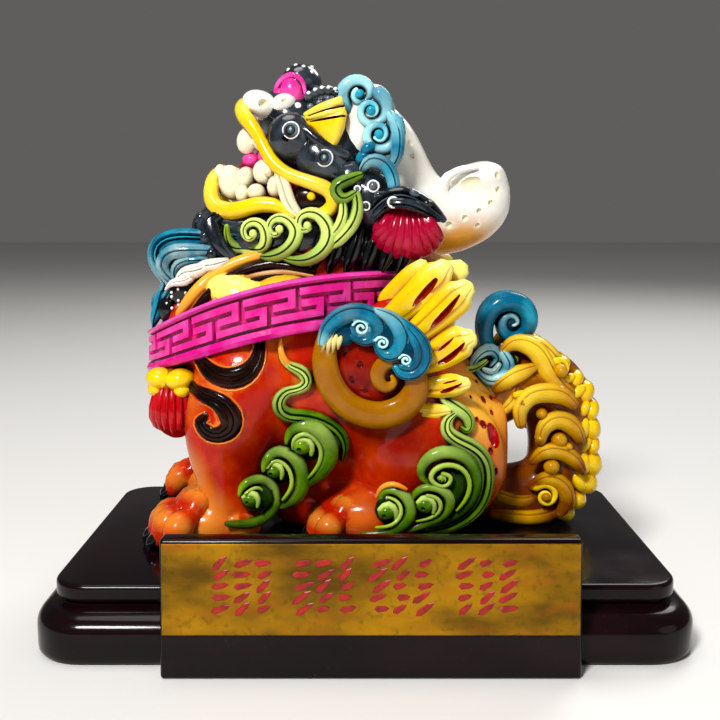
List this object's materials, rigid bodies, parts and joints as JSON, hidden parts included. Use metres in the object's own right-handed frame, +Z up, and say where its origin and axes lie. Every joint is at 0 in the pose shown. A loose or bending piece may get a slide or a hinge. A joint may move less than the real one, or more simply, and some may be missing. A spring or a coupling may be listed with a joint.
{
  "type": "pixiu figure",
  "caption": "Desk figure of a pixiu, a winged guardian lion, in brightly painted cast resin on a black lacquered plinth with a name plate.",
  "frame": {"origin": "on the ground, below the middle of the whole piece", "axes": "+Z up; the name plate faces -Y; the animal looks towards -X and its tail is at +X"},
  "size_m": [0.101, 0.068, 0.092],
  "materials": {
    "lacquer": "high-gloss black lacquer",
    "plate": "mottled gold foil with red strokes",
    "painted_resin": "glossy hand-painted resin, orange body"
  },
  "bodies": {
    "root": {"plinth": "lacquer", "name_plate": "plate", "pixiu": "painted_resin"}
  },
  "joints": []
}
